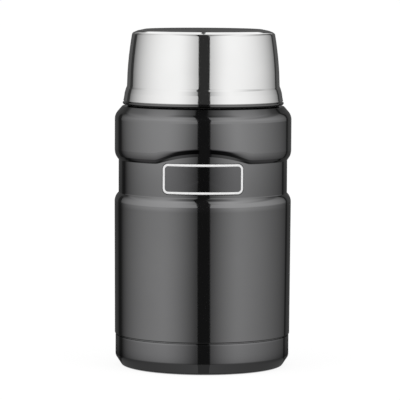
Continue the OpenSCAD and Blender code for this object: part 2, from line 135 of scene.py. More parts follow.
def skin(name, grid, ends="poles"):
    """A smooth mesh over a grid of points in millimetres, closed round its second axis. Its first axis is
    closed too for ends="loop", and for ends="poles" its first and last rows are one point each, on the
    axis."""
    rows, cols = grid.shape[:2]
    j = np.arange(cols)
    k = (j + 1) % cols
    if ends == "loop":
        points = grid.reshape(-1, 3)
        i = np.arange(rows)[:, None] * cols
        up = ((np.arange(rows) + 1) % rows)[:, None] * cols
        quads = np.stack([i + j, i + k, up + k, up + j], -1).reshape(-1, 4)
        tris = np.zeros((0, 3), int)
    else:
        points = np.vstack([grid[1:-1].reshape(-1, 3), grid[0, :1], grid[-1, :1]])
        i = np.arange(rows - 3)[:, None] * cols
        quads = np.stack([i + j, i + k, i + cols + k, i + cols + j], -1).reshape(-1, 4)
        low, high, top = len(points) - 2, len(points) - 1, (rows - 3) * cols
        tris = np.vstack([np.stack([j * 0 + low, k, j], -1),
                          np.stack([top + j, top + k, j * 0 + high], -1)])
    mesh = bpy.data.meshes.new(name)
    mesh.vertices.add(len(points))
    mesh.vertices.foreach_set("co", (points * 0.001).astype(np.float32).ravel())
    loops = np.concatenate([quads.ravel(), tris.ravel()])
    sizes = np.concatenate([np.full(len(quads), 4), np.full(len(tris), 3)])
    mesh.loops.add(len(loops))
    mesh.loops.foreach_set("vertex_index", loops.astype(np.int32))
    mesh.polygons.add(len(sizes))
    starts = np.concatenate([[0], np.cumsum(sizes)[:-1]])
    mesh.polygons.foreach_set("loop_start", starts.astype(np.int32))
    mesh.polygons.foreach_set("loop_total", sizes.astype(np.int32))
    mesh.update(calc_edges=True)
    mesh.validate()
    mesh.shade_smooth()
    piece = bpy.data.objects.new(name, mesh)
    bpy.context.scene.collection.objects.link(piece)
    return piece


def node(tree, kind, **sockets):
    """A shader node with its input sockets set by name, where a two-part value links another node's
    output."""
    made = tree.nodes.new(kind)
    for key, value in sockets.items():
        socket = made.inputs[key.replace("_", " ")]
        if isinstance(value, bpy.types.NodeSocket):
            tree.links.new(value, socket)
        else:
            socket.default_value = value
    return made


def maths(tree, operation, *values):
    """The output of a math node whose inputs are numbers or other nodes' outputs."""
    made = tree.nodes.new("ShaderNodeMath")
    made.operation = operation
    for socket, value in zip(made.inputs, values):
        if isinstance(value, bpy.types.NodeSocket):
            tree.links.new(value, socket)
        else:
            socket.default_value = value
    return made.outputs[0]


def finish(name, dark, light, metallic, rough, grain, bump=0.02, stretch=(1, 1, 1), spun=False,
           painted_light_by_height=None):
    """A surface whose colour drifts between dark and light in soft clouds, and whose roughness and height
    follow a fine grain. stretch gives the grain's direction; spun lays it in rings round the jar's axis,
    as a lathe does. The last argument lists heights in millimetres and how light the colour is there, next
    to the lightest: painted highlights and painted shade laid into the colour by height."""
    cloud_scale, grain_depth, ring_reach = 60.0, 0.0002, 0.01
    material = bpy.data.materials.new(name)
    material.use_nodes = True
    tree = material.node_tree
    shader = tree.nodes["Principled BSDF"]
    shader.inputs["Metallic"].default_value = metallic
    place = tree.nodes.new("ShaderNodeTexCoord").outputs["Object"]
    along = place
    if spun:
        parts = node(tree, "ShaderNodeSeparateXYZ", Vector=place)
        flat = node(tree, "ShaderNodeCombineXYZ", X=parts.outputs["X"], Y=parts.outputs["Y"])
        far = tree.nodes.new("ShaderNodeVectorMath")
        far.operation = "LENGTH"
        tree.links.new(flat.outputs[0], far.inputs[0])
        turn = maths(tree, "ARCTAN2", parts.outputs["Y"], parts.outputs["X"])
        short = maths(tree, "MULTIPLY", maths(tree, "SINE", turn), ring_reach)
        along = node(tree, "ShaderNodeCombineXYZ", X=far.outputs["Value"], Y=short,
                     Z=parts.outputs["Z"]).outputs[0]
    laid = node(tree, "ShaderNodeMapping", Vector=along, Scale=stretch).outputs[0]
    fine = node(tree, "ShaderNodeTexNoise", Vector=laid, Scale=grain, Detail=4.0, Roughness=0.6)
    cloud = node(tree, "ShaderNodeTexNoise", Vector=place, Scale=cloud_scale, Detail=2.0)
    tint = tree.nodes.new("ShaderNodeMix")
    tint.data_type = "RGBA"
    tint.inputs["A"].default_value = (*dark, 1)
    tint.inputs["B"].default_value = (*light, 1)
    tree.links.new(cloud.outputs["Fac"], tint.inputs["Factor"])
    colour = tint.outputs["Result"]
    # Painted light and shade: the colour is multiplied by light levels laid along the height
    if painted_light_by_height:
        low, high = painted_light_by_height[0][0] / 1000, painted_light_by_height[-1][0] / 1000
        height = node(tree, "ShaderNodeSeparateXYZ", Vector=place).outputs["Z"]
        along_z = node(tree, "ShaderNodeMapRange", Value=height, From_Min=low, From_Max=high)
        painted_light_ramp = node(tree, "ShaderNodeValToRGB", Fac=along_z.outputs[0])
        stops = painted_light_ramp.color_ramp.elements
        for i, (z, level) in enumerate(painted_light_by_height):
            at = (z / 1000 - low) / (high - low)
            stop = stops[0] if i == 0 else stops[-1] if i == len(painted_light_by_height) - 1 else stops.new(at)
            stop.position, stop.color = at, (level, level, level, 1)
        shade = tree.nodes.new("ShaderNodeMix")
        shade.data_type, shade.blend_type = "RGBA", "MULTIPLY"
        shade.inputs["Factor"].default_value = 1.0
        tree.links.new(colour, shade.inputs["A"])
        tree.links.new(painted_light_ramp.outputs["Color"], shade.inputs["B"])
        colour = shade.outputs["Result"]
    tree.links.new(colour, shader.inputs["Base Color"])
    spread = node(tree, "ShaderNodeMapRange", Value=fine.outputs["Fac"], From_Min=0.3, From_Max=0.7,
                  To_Min=rough[0], To_Max=rough[1])
    tree.links.new(spread.outputs[0], shader.inputs["Roughness"])
    raised = node(tree, "ShaderNodeBump", Height=fine.outputs["Fac"], Strength=bump,
                  Distance=grain_depth)
    tree.links.new(raised.outputs[0], shader.inputs["Normal"])
    return material


around_shell = 360
angle = np.linspace(0, 2 * np.pi, around_shell, endpoint=False)
degrees = np.degrees(angle)[None]
waist_r, band_r, barrel_foot_r, skirt_r, ledge_r, neck_r = 48.6, 50.9, 50.5, 49.45, 46.6, 40.0
skirt_foot_z, seam_z, waist_foot_z, waist_top_z = 8.0, 18.6, 100.21, 119.15
band_top_z, ledge_z, neck_top_z = 145.05, 150.0, 161.75
shell_t = 0.5
thread_lead, thread_starts, thread_h = 15, 3, 1.2
arch_half_w, arch_h = 25.8, 4.6
arch_r = (arch_half_w**2 + arch_h**2) / (2 * arch_h)
sideways = waist_r * np.cos(angle)
front = np.sin(angle) < 0
rise = np.sqrt(np.maximum(arch_r**2 - sideways**2, 0)) - (arch_r - arch_h)
rise = np.where(front, 0.5 * (rise + np.sqrt(rise**2 + 0.15)), 0) * (np.abs(sideways) < 31)
steep = np.clip((rise - 0.3) / 3.2, 0, 1)
steep = steep * steep * (3 - 2 * steep)


def around(r, z, fillet):
    """One corner of the shell at every angle round it."""
    return np.stack(np.broadcast_arrays(r, z + 0 * angle, fillet), -1)


def thread(a, z, start_z, start_a, span, width, height):
    """How far a set of thread beads stands out at angle a (degrees) and height z. Each bead climbs by the
    lead in a turn, has a flat crest with soft flanks, and rises and fades over 12 degrees at its ends."""
    flank_w, fade_a = 0.75, 12
    out = 0 * (a + z)
    for s in range(thread_starts):
        gone = (a - start_a - 360 / thread_starts * s) % 360
        off = np.abs(z - start_z - thread_lead * gone / 360)
        flank = np.clip((width / 2 + 0.05 - off) / flank_w, 0, 1)
        ends = np.clip(np.minimum(gone, span - gone) / fade_a, 0, 1)
        bead = height * flank * flank * (3 - 2 * flank)
        out = np.maximum(out, bead * ends * ends * (3 - 2 * ends))
    return out


crease_z = waist_top_z + rise
lip_r, lip_z = waist_r + 0.75 - 0.15 * steep, crease_z + 1.0 + 0.7 * steep
knee_r, knee_z = waist_r + 1.6, crease_z + 2.35 + 0.82 * steep
roll_z = crease_z + 4.27 - 0.07 * steep
shell_corners = [
    around(skirt_r, skirt_foot_z, 0.2), around(skirt_r, seam_z, 0.15),
    around(barrel_foot_r, seam_z, 0.55), around(band_r, 97.875, 7.3),
    around(waist_r, waist_foot_z, 0.7), around(waist_r, crease_z, 0.35),
    around(lip_r, lip_z, 1.0 - 0.5 * steep), around(knee_r, knee_z, 1.6),
    around(band_r, roll_z, 11 - 9.8 * steep), around(band_r, band_top_z, 7.0),
    around(ledge_r, ledge_z, 0.5), around(neck_r, ledge_z, 1.5), around(neck_r, neck_top_z, 0.1),
]
inner_corners = [
    around(skirt_r - shell_t, skirt_foot_z, 0.2), around(skirt_r - shell_t, seam_z + 0.5, 0.3),
    around(barrel_foot_r - shell_t, seam_z + 0.5, 0.2), around(band_r - shell_t, 97.7, 6.8),
    around(waist_r - shell_t, 100.0, 1.2), around(waist_r - shell_t, crease_z + 0.2, 1.0),
    around(band_r - shell_t, roll_z + 0.3, 7.0), around(band_r - shell_t, 144.85, 6.5),
    around(46.35, ledge_z - shell_t, 0.9), around(neck_r - shell_t, ledge_z - shell_t, 2.0),
    around(neck_r - shell_t, neck_top_z, 0.1),
]
outer_rows, inner_rows = rounded(shell_corners, 9), rounded(inner_corners, 4)


def on_neck(rows):
    """The rows of the shell with extra ones up the neck, close enough for the rolled thread."""
    low, top = rows[:-1], rows[-1:]
    start = low[-1:]
    s = np.linspace(0, 1, 32)[1:-1, None, None]
    return np.concatenate([low, start + (top - start) * s, top])


shell_rows = np.concatenate([on_neck(outer_rows), on_neck(inner_rows)[::-1]])
neck = (shell_rows[..., 0] < neck_r + 0.2) & (shell_rows[..., 1] > ledge_z + 1)
roll = thread(degrees, shell_rows[..., 1], 152.9, 2.5, 150, 2.2, thread_h)
shell_rows[..., 0] += np.where(neck, roll, 0)
outer_shell = skin("outer_shell_steel", turned(shell_rows, around_shell), "loop")
# Painted light and shade by height: a painted highlight along the low roll (92-101 mm) and a thinner one at
# the shoulder's corner (144 mm), the shoulder darker towards the ledge, a dark painted shade line at the
# ledge under the lid's rim (150 mm), and the neck darker
shell_painted_light_and_shade = [(92.3, 0.74), (94.2, 0.94), (98, 1.0), (100.2, 0.78), (101, 0.74), (124, 0.765),
             (143.2, 0.765), (144.2, 0.9), (146.2, 0.73), (149.7, 0.6), (149.88, 0.2), (150.12, 0.2),
             (150.3, 0.6)]
gunmetal = finish("gunmetal_coat", (0.228, 0.228, 0.231), (0.244, 0.244, 0.247), 1.0, (0.05, 0.075),
                  2600, bump=0.02, painted_light_by_height=shell_painted_light_and_shade)
outer_shell.data.materials.append(gunmetal)
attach(outer_shell, "jar")
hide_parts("outer_shell")

# --------------------------------------------------------------------------------------------------
# Badge: a plain rounded field of slightly darker lacquer with a thin frame of white ink, printed on the
# waist under the arch. There is nothing in it.

badge_w, badge_h, badge_line, badge_z = 47.0, 17.0, 1.3, 111.0
badge_print, badge_corner, field_margin = 0.04, 3.2, 0.45
t = np.linspace(0, 2 * np.pi, 480, endpoint=False)


def lengths(line):
    """The length along a line of points, from its first point to each of them."""
    return np.concatenate([[0], np.cumsum(np.linalg.norm(np.diff(line, axis=0), axis=1))])


def frame_line(half_w, half_h, corner, t):
    """A rounded rectangle by angle t: straight sides joined by quarter circles, spaced evenly by
    length."""
    corner_c = np.array([[1, 1], [-1, 1], [-1, -1], [1, -1]]) * (half_w - corner, half_h - corner)
    bits = []
    for q in range(4):
        turn = np.radians(np.linspace(90 * q, 90 * q + 90, 40))
        bits.append(corner_c[q] + corner * np.stack([np.cos(turn), np.sin(turn)], 1))
    line = np.vstack(bits + [bits[0][:1]])
    long = lengths(line)
    at = t / (2 * np.pi) * long[-1]
    return np.stack([np.interp(at, long, line[:, 0]), np.interp(at, long, line[:, 1])], 1)


field_edge = frame_line(badge_w / 2 + field_margin, badge_h / 2 + field_margin,
                        badge_corner + field_margin, t)
rings = [(s, 0.0) for s in np.linspace(0, 1, 13)] + [(s, 0.02) for s in np.linspace(1, 0, 13)]
field = []
for s, height in rings:
    turn, r = s * field_edge[:, 0] / waist_r - np.pi / 2, waist_r + 0.005 + height
    field.append(np.stack([r * np.cos(turn), r * np.sin(turn), badge_z + s * field_edge[:, 1]], -1))
badge_field = skin("badge_field", np.stack(field))
field_lacquer = finish("badge_field", (0.12, 0.12, 0.123), (0.13, 0.13, 0.133), 1.0, (0.06, 0.085), 2600)
badge_field.data.materials.append(field_lacquer)
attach(badge_field, "jar")

edge_out = frame_line(badge_w / 2, badge_h / 2, badge_corner, t)
edge_in = frame_line(badge_w / 2 - badge_line, badge_h / 2 - badge_line, badge_corner - badge_line, t)
mid = (edge_out + edge_in) / 2
bars = [(edge_out, 0.0), (edge_out, badge_print), (mid, badge_print + 0.01), (edge_in, badge_print),
        (edge_in, 0.0)]
wrap = []
for line, height in bars:
    turn = line[:, 0] / waist_r - np.pi / 2
    r = waist_r + 0.02 + height
    wrap.append(np.stack([r * np.cos(turn), r * np.sin(turn), badge_z + line[:, 1]], -1))
badge = skin("badge_frame", np.stack(wrap), "loop")
badge_ink = finish("badge_ink", (0.88, 0.88, 0.88), (0.93, 0.93, 0.93), 0.0, (0.3, 0.4), 3000)
badge.data.materials.append(badge_ink)
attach(badge, "jar")

# --------------------------------------------------------------------------------------------------
# Base cup: a pressed steel cup slid over the shell's stepped-in skirt from below, with a raised panel and
# a rounded foot. The fine line between its edge and the barrel is the jar's seam, darkened by painted shade.

cup_r, cup_top_z, cup_t = 50.1, 18.05, 0.5
cup_corners = [(0, 1.6, 0), (36, 1.6, 1.2), (37.6, 0, 1.2), (46.2, 0, 1.6), (cup_r, 5.9, 3.6),
               (cup_r, cup_top_z, 0.3)]
cup_inside = thick(cup_corners, cup_t)[::-1]
cup_inside[0] = (cup_r - cup_t, cup_top_z, 0.1)
base_cup = skin("base_cup_steel", turned(rounded(np.vstack([cup_corners, cup_inside]), 10)))
# Painted light and shade by height: a painted highlight along the cup's rounded top edge (17.4-17.75 mm) and
# painted shade on the very top of the edge at the seam (above 17.95 mm)
cup_painted_light_and_shade = [(0, 0.82), (16.9, 0.82), (17.4, 1.0), (17.75, 1.0), (17.95, 0.4), (18.4, 0.4)]
gunmetal_base = finish("gunmetal_base", (0.2, 0.2, 0.204), (0.216, 0.216, 0.22), 1.0, (0.055, 0.08), 2600,
                       bump=0.02, painted_light_by_height=cup_painted_light_and_shade)
base_cup.data.materials.append(gunmetal_base)
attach(base_cup, "jar")
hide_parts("base_cup")

# --------------------------------------------------------------------------------------------------
# Vacuum floor and what it carries: the pressed disc that closes the shell, the bead of solder glass in
# its evacuation hole, and the getter pill held by a sprung strap. None of it shows in use.


def dress(names, material):
    """Gives solids of the frame that stay visible their material."""
    for name in names:
        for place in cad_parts[name].material_slots:
            place.material = material


hidden_steel = finish("hidden_steel", (0.5, 0.49, 0.47), (0.6, 0.59, 0.57), 1.0, (0.28, 0.4), 900, bump=0.1)
solder_glass = finish("solder_glass", (0.16, 0.13, 0.11), (0.24, 0.2, 0.17), 0.0, (0.12, 0.3), 700, bump=0.1)
getter_metal = finish("getter_metal", (0.2, 0.2, 0.21), (0.3, 0.3, 0.31), 0.6, (0.6, 0.8), 2500, bump=0.4)
dress(["vacuum_floor", "getter_clip"], hidden_steel)
dress(["evacuation_seal"], solder_glass)
dress(["getter"], getter_metal)

# --------------------------------------------------------------------------------------------------
# Inner vessel and its floor: drawn and electropolished steel, 0.5 mm thick. The wall narrows over a
# shoulder to the throat, steps out to the seal ledge and the threaded mouth, and rolls over into the lip
# that is welded to the neck.


def threaded(path, is_wall, closed=True):
    """A path at every angle, with 34 rows on each side from a to b for which is_wall(a, b) holds: close
    enough together to carry a thread."""
    ends = np.roll(path, -1, 0) if closed else path[1:]
    rows = [a + (b - a) * np.linspace(0, 1, 34 if is_wall(a, b) else 1, endpoint=False)[:, None]
            for a, b in zip(path, ends)]
    last = [] if closed else [path[-1:]]
    return np.repeat(np.vstack(rows + last)[:, None], 360, 1)


def inside(values, low, high):
    """Where values lie between two limits."""
    return (values > low) & (values < high)


vessel_r, throat_r, mouth_r, lip_top_z = 43, 33.6, 36.5, 163.5
vessel_loop = sheet_loop([
    (vessel_r, 27.5, 0.2), (vessel_r, 139.14, 5), (throat_r, 144.568, 3), (throat_r, 149.3, 0.5),
    (mouth_r, 149.3, 0.6), (mouth_r, lip_top_z, 1.74), (neck_r, lip_top_z, 1.74), (neck_r, neck_top_z, 0.1),
], -0.5, edge=0.12)
vessel_rows = threaded(
    vessel_loop, lambda a, b: abs(b[1] - a[1]) > 6 and 36 < a[0] < 37.4 and min(a[1], b[1]) > 145)
vessel_z = vessel_rows[..., 1]
mouth = inside(vessel_rows[..., 0], 36.2, 37.2) & inside(vessel_z, 150.2, 161.9)
vessel_rows[..., 0] -= np.where(mouth, thread(degrees, vessel_z, 153.5, 2.5, 150, 2.2, thread_h), 0)
inner_vessel = skin("inner_vessel_steel", turned(vessel_rows), "loop")
vessel_steel = finish("vessel_steel", (0.6, 0.59, 0.57), (0.7, 0.69, 0.67), 1.0, (0.18, 0.26), 500, bump=0.06,
                      stretch=(1, 1, 6), spun=True)
inner_vessel.data.materials.append(vessel_steel)
vessel_floor = skin("vessel_floor_steel", turned(rounded([
    (0, 17, 0), (43.5, 17, 8.5), (43.5, 27.5, 0.2), (vessel_r, 27.5, 0.2), (vessel_r, 17.5, 8), (0, 17.5, 0),
], 10)))
vessel_floor.data.materials.append(vessel_steel)
for piece, name in ((inner_vessel, "inner_vessel"), (vessel_floor, "vessel_floor")):
    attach(piece, "jar")
    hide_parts(name)

# --------------------------------------------------------------------------------------------------
# Heat shield and floor foil: bright copper foil wrapped round the vessel and laid under its floor, in the
# vacuum.

copper = finish("copper_foil", (0.68, 0.38, 0.26), (0.78, 0.48, 0.34), 1.0, (0.15, 0.32), 350, bump=0.5,
                stretch=(1, 1, 0.4))
dress(["heat_shield", "floor_foil"], copper)

# --------------------------------------------------------------------------------------------------
# Stopper: an injection-moulded plug with three thread beads, a silicone gasket in its groove, a foam
# filling and a snapped-in cap with a fluted edge. A bar across the cap's finger well is the grip.

plug_path = rounded([
    (0, 146.3, 0), (32.4, 146.3, 0.4), (33.2, 147.1, 0.4), (33.2, 149.45, 0.15), (31.8, 149.45, 0.15),
    (31.8, 152.35, 0.15), (34.9, 152.35, 0.2), (34.9, 164.7, 0.2), (32.9, 164.7, 0.2), (32.9, 154.35, 0.2),
    (29.8, 154.35, 0.3), (29.8, 148.3, 0.3), (0, 148.3, 0),
], 5)
plug_rows = threaded(plug_path, lambda a, b: b[1] - a[1] > 6, closed=False)
plug_z = plug_rows[..., 1]
wall = (plug_rows[..., 0] > 34.8) & (plug_z > 152.6)
plug_rows[..., 0] += np.where(wall, thread(degrees, plug_z, 154.333, 62.5, 90, 2.0, thread_h), 0)
plug = skin("stopper_plug_moulding", turned(plug_rows))
stopper_black = finish("stopper_plastic", (0.028, 0.028, 0.03), (0.042, 0.042, 0.044), 0.0, (0.38, 0.5),
                       2200, bump=0.25)
plug.data.materials.append(stopper_black)

gasket = skin("stopper_gasket_ring", turned(rounded([
    (33, 149.6, 0), (35.0, 149.6, 0.9), (35.0, 152.2, 0.9), (31.95, 152.2, 0.4), (31.95, 149.6, 0.4),
    (33, 149.6, 0),
], 6)[:-1]), "loop")
silicone = finish("silicone", (0.66, 0.66, 0.64), (0.76, 0.76, 0.74), 0.0, (0.45, 0.6), 1200, bump=0.1)
gasket.data.materials.append(silicone)

foam = finish("foam", (0.74, 0.73, 0.69), (0.84, 0.83, 0.79), 0.0, (0.85, 0.95), 1500, bump=0.8)
dress(["stopper_foam"], foam)

cap_r, flute_r, cap_around = 39.4, 1.1, 720
flute_pitch = 10
cap_path = rounded([
    (0, 163.2, 0), (32.8, 163.2, 0.2), (32.8, 164.7, 0.15), (35.0, 164.7, 0.15), (35.0, 163.8, 0.15),
    (cap_r, 163.8, 0.6), (cap_r, 170.7, 1.6), (34.7, 170.7, 0.9), (34.3, 166.7, 1.2), (0, 166.7, 0),
], 7)
cap_rows = np.repeat(cap_path[:, None], cap_around, 1)
a = np.linspace(0, 360, cap_around, endpoint=False)
off = np.abs(a / flute_pitch % 1 - 0.5) * flute_pitch * np.pi / 180 * cap_r
groove = np.sqrt(np.maximum(flute_r**2 - off**2, 0)) - 0.5
groove = np.maximum(groove, 0) * np.clip((cap_rows[..., 0] - 37.2) / 1.6, 0, 1)
cap_rows[..., 0] -= groove
cap = skin("stopper_cap_moulding", turned(cap_rows, cap_around))
cap.data.materials.append(stopper_black)

bar_half_l, bar_half_w, bar_low, bar_high = 34.6, 7.5, 166.5, 174.1
s = np.linspace(-1, 1, 121)[:, None]
v = np.linspace(0, 1, 96, endpoint=False)[None, :]
x = bar_half_l * s
hollow_r, hollow_inset, crown_r = 18.0, 16.0, 4 * 34.4
hollow = np.sqrt(np.maximum(hollow_r**2 - x**2, 0))
half_w = np.minimum(bar_half_w, bar_half_w + hollow_inset - hollow)
top = bar_high - (crown_r - np.sqrt(crown_r**2 - x**2))
section = rounded([(0, 0, 0), (1, 0, 0.02), (1, 1, 0.18), (-1, 1, 0.18), (-1, 0, 0.02), (0, 0, 0)], 8)
long = lengths(section)
side = np.interp(v[0] * long[-1], long, section[:, 0])[None]
lift = np.interp(v[0] * long[-1], long, section[:, 1])[None]
bar_grid = np.stack([x + 0 * side, side * half_w, bar_low + lift * (top - bar_low)], -1)
bar_grid[..., 0] *= np.sqrt(np.maximum(bar_half_l**2 - bar_grid[..., 1] ** 2, 0)) / bar_half_l
poles = [row.mean(1, keepdims=True).repeat(96, 1) for row in (bar_grid[:1], bar_grid[-1:])]
bar = skin("stopper_grip_bar", np.concatenate([poles[0], bar_grid, poles[1]]))
bar.data.materials.append(stopper_black)
for piece, body, names, slot in ((plug, "stopper", ["stopper_plug"], "stopper_plastic"),
                                 (cap, "stopper", ["stopper_cap"], "stopper_plastic"),
                                 (bar, "stopper", ["stopper_cap"], "stopper_plastic"),
                                 (gasket, "stopper_seal", ["stopper_gasket"], "silicone")):
    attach(piece, body)
    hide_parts(*names)

# --------------------------------------------------------------------------------------------------
# Lid: a spun steel shell with a rolled rim and a steel liner inside it. A moulded collar with the lid's
# thread joins them at the rim, and a soft ring under it closes on the ledge of the jar.

lid_t, lid_gap = 0.5, 2.2
lid_side = [(43.97, 161.4, 2.2), (43.9, 163.2, 8), (43.67, 169.5, 14), (43.33, 174.2, 14),
            (42.92, 178.6, 14), (42.4, 182.9, 14), (41.85, 187.0, 14)]
lid_flare = [(45.1, 153.0, 0.05), (46.0, 153.0, 0.12), (45.93, 153.5, 0.3), (45.72, 154.4, 1.5),
             (45.25, 157.6, 2.5), (44.55, 160.1, 3.0)]
lid_rim = [(44.3, 150.95, 0.2), (46.0, 150.95, 0.4), (46.4, 151.7, 0.3), (46.3, 152.3, 0.15),
           (45.1, 152.4, 0.05)]
lid_top = [(41.05, 191.95, 2.0), (37.9, 193.3, 4), (33.6, 194.2, 1.5), (26, 193.4, 20), (0, 193.4, 0)]
lid_above = np.array(lid_flare[-2:] + lid_side + lid_top)
lid_lip = [(45.1, 154.5, 0.8), (44.75, 153.8, 0.4), (44.75, 151.6, 0.2), (44.3, 151.5, 0.15)]
lid_inside = thick(lid_above, lid_t)[::-1]
shell_path = rounded(np.vstack([lid_inside, lid_lip, lid_rim, lid_flare[:-2], lid_above]), 4)
lid_shell = skin("lid_shell_steel", turned(shell_path, 320))
# Painted shade on the rolled rim: nearly black under it (150-151.2 mm), dark grey up its face to 152.9 mm,
# and the shell's full colour from the flare's foot up
rim_painted_shade = [(150, 0.06), (151.2, 0.06), (151.5, 0.2), (152.4, 0.2), (152.9, 0.3), (153.05, 1.0),
            (195, 1.0)]
lid_steel = finish("lid_steel", (0.715, 0.715, 0.711), (0.755, 0.755, 0.751), 1.0, (0.04, 0.065), 420,
                   bump=0.02, stretch=(1, 1, 9), spun=True, painted_light_by_height=rim_painted_shade)
lid_shell.data.materials.append(lid_steel)

liner_side = [(r - lid_gap, z, 10) for r, z, _ in lid_side if 165 < z < 185]
liner_corners = [(41.7, 163.2, 0.12)] + liner_side + [(39.35, 190.4, 5.0), (0, 190.4, 0)]
liner_inner = thick(liner_corners, lid_t)[::-1]
lid_liner = skin("lid_liner_steel", turned(rounded(np.vstack([liner_inner, liner_corners]), 7)))
bowl_steel = finish("bowl_steel", (0.62, 0.61, 0.59), (0.72, 0.71, 0.69), 1.0, (0.18, 0.26), 420, bump=0.05,
                    stretch=(1, 1, 7), spun=True)
lid_liner.data.materials.append(bowl_steel)

collar_bore_r = 41.6
collar_loop = rounded([
    (44.4, 151.3, 0), (44.6, 151.3, 0.1), (44.6, 153.8, 0.3), (44.95, 154.6, 0.3), (44.5, 157.5, 2),
    (43.25, 161.3, 0.3), (43.1, 163.2, 0.2), (41.5, 163.2, 0.2), (41.5, 162.0, 0.2),
    (collar_bore_r, 161.4, 0.1), (collar_bore_r, 151.3, 0.3), (42.0, 151.3, 0.1), (42.0, 152.3, 0.1),
    (44.2, 152.3, 0.1), (44.2, 151.3, 0.1), (44.4, 151.3, 0),
], 5)[:-1]
collar_rows = threaded(collar_loop, lambda a, b: a[1] - b[1] > 6 and a[0] < 42)
collar_z = collar_rows[..., 1]
bore = (np.abs(collar_rows[..., 0] - collar_bore_r) < 0.08) & inside(collar_z, 151.7, 161.2)
collar_rows[..., 0] -= np.where(bore, thread(degrees, collar_z, 153.733, 62.5, 90, 2.0, thread_h), 0)
collar = skin("lid_collar_moulding", turned(collar_rows), "loop")
collar_black = finish("collar_plastic", (0.032, 0.032, 0.034), (0.048, 0.048, 0.05), 0.0, (0.4, 0.52),
                      2200, bump=0.2)
collar.data.materials.append(collar_black)

seat_ring = skin("lid_seat_ring_rubber", turned(rounded([
    (43, 150.3, 0), (44.0, 150.3, 0.5), (44.0, 152.2, 0.2), (42.2, 152.2, 0.2), (42.2, 150.3, 0.5),
    (43, 150.3, 0),
], 6)[:-1]), "loop")
black_rubber = finish("black_rubber", (0.024, 0.024, 0.024), (0.036, 0.036, 0.036), 0.0, (0.55, 0.7),
                      1500, bump=0.2)
seat_ring.data.materials.append(black_rubber)
for piece, body, name, slot in ((lid_shell, "lid", "lid_shell", "lid_steel"),
                                (lid_liner, "lid", "lid_liner", "bowl_steel"),
                                (collar, "lid", "lid_collar", "collar_plastic"),
                                (seat_ring, "lid_seal", "lid_seat_ring", "black_rubber")):
    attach(piece, body)
    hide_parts(name)

# --------------------------------------------------------------------------------------------------
# Studio: a pale floor, white all round, two large curved panels at the jar's left and right with a narrow
# gap between them at the front, and a dark cloth behind them, which gives the metal its dark edges. Only
# gloss sees the panels and the cloth.


def lamp_material(name):
    """Light given off by a panel: as strong as its own 'glow' where it is seen along its surface, and as
    strong as its 'steep' where it is seen square on."""
    material = bpy.data.materials.new(name)
    material.use_nodes = True
    tree = material.node_tree
    tree.nodes.clear()
    glow = tree.nodes.new("ShaderNodeAttribute")
    glow.attribute_name = "glow"
    steep = tree.nodes.new("ShaderNodeAttribute")
    steep.attribute_name = "steep"
    slant = tree.nodes.new("ShaderNodeLayerWeight")
    flat = node(tree, "ShaderNodeMapRange", Value=slant.outputs["Facing"], From_Min=0.05, From_Max=0.88)
    either = tree.nodes.new("ShaderNodeMix")
    tree.links.new(flat.outputs[0], either.inputs[0])
    tree.links.new(steep.outputs["Fac"], either.inputs[2])
    tree.links.new(glow.outputs["Fac"], either.inputs[3])
    shine = node(tree, "ShaderNodeEmission", Strength=either.outputs[0])
    out = tree.nodes.new("ShaderNodeOutputMaterial")
    tree.links.new(shine.outputs[0], out.inputs["Surface"])
    material.cycles.emission_sampling = "NONE"
    return material


def hung(name, points, glow, steep):
    """A panel in metres that only the jar's gloss sees, with its two strengths of light kept at each
    point."""
    rows, cols = points.shape[:2]
    i, j = np.meshgrid(np.arange(rows - 1), np.arange(cols - 1), indexing="ij")
    first = i * cols + j
    faces = np.stack([first, first + 1, first + cols + 1, first + cols], -1).reshape(-1, 4)
    mesh = bpy.data.meshes.new(name)
    mesh.from_pydata(points.reshape(-1, 3).tolist(), [], faces.tolist())
    for kind, strength in (("glow", glow), ("steep", steep)):
        value = mesh.attributes.new(kind, "FLOAT", "POINT")
        values = np.broadcast_to(strength, (rows, cols)).astype(np.float32)
        value.data.foreach_set("value", values.ravel())
    mesh.materials.append(panel_light)
    panel = bpy.data.objects.new(name, mesh)
    bpy.context.scene.collection.objects.link(panel)
    for ray in ("camera", "diffuse", "transmission", "volume_scatter", "shadow"):
        setattr(panel, "visible_" + ray, False)
    return panel


def seen_from_jar(way, r, up):
    """The angle round the axis at which a ray meets radius r, when it leaves the jar's side at half its
    own heading 'way': the side's place and a stretch along the heading are added, and the sum's angle is
    taken. High up, where the rays come off the shoulder and the lid's top, it fades into the heading
    itself."""
    foot_r, least = 0.0505, 0.0004 * 0.0505
    along = np.cos(way / 2) * foot_r
    stretch = -along + np.sqrt(np.maximum(r**2 - foot_r**2 + along**2, least))
    x = foot_r * np.sin(way / 2) + stretch * np.sin(way)
    y = foot_r * np.cos(way / 2) + stretch * np.cos(way)
    share = np.clip((20 - up) / 15, 0, 1)
    return way + share * (np.arctan2(x, y) - way)


def soft_panel(az, start, full_at, hold_to, fade_to, bow):
    """How light a soft panel is across its width: from 'start' at the gap it rises by a quarter of a sine
    to 1 at 'full_at', holds to 'hold_to', and falls by the power 'bow' of its way to 'fade_to'."""
    inner_edge, deepest_fade = 8, 0.96
    rising = np.sin(np.pi / 2 * np.clip((az - inner_edge) / (full_at - inner_edge), 0, 1))
    fading = np.clip((az - hold_to) / (fade_to - hold_to), 0, deepest_fade) ** bow
    return (start + (1 - start) * rising) * (1 - fading)


def in_sight(tree):
    """1 for rays that come from the camera, off a gloss or through a clear piece, and 0 for all
    others."""
    ray = tree.nodes.new("ShaderNodeLightPath").outputs
    either = maths(tree, "MAXIMUM", ray["Is Camera Ray"], ray["Is Glossy Ray"])
    return maths(tree, "MAXIMUM", either, ray["Is Transmission Ray"])


panel_light = lamp_material("panel_light")
reach, floor_lift, cloth_step = 1.2, 0.0012, 0.02
cloth, cloth_behind, cloth_foot, overhang = 0.034, 0.09, 0.14, 0.97
back_az, panel_end_az = 145, 179
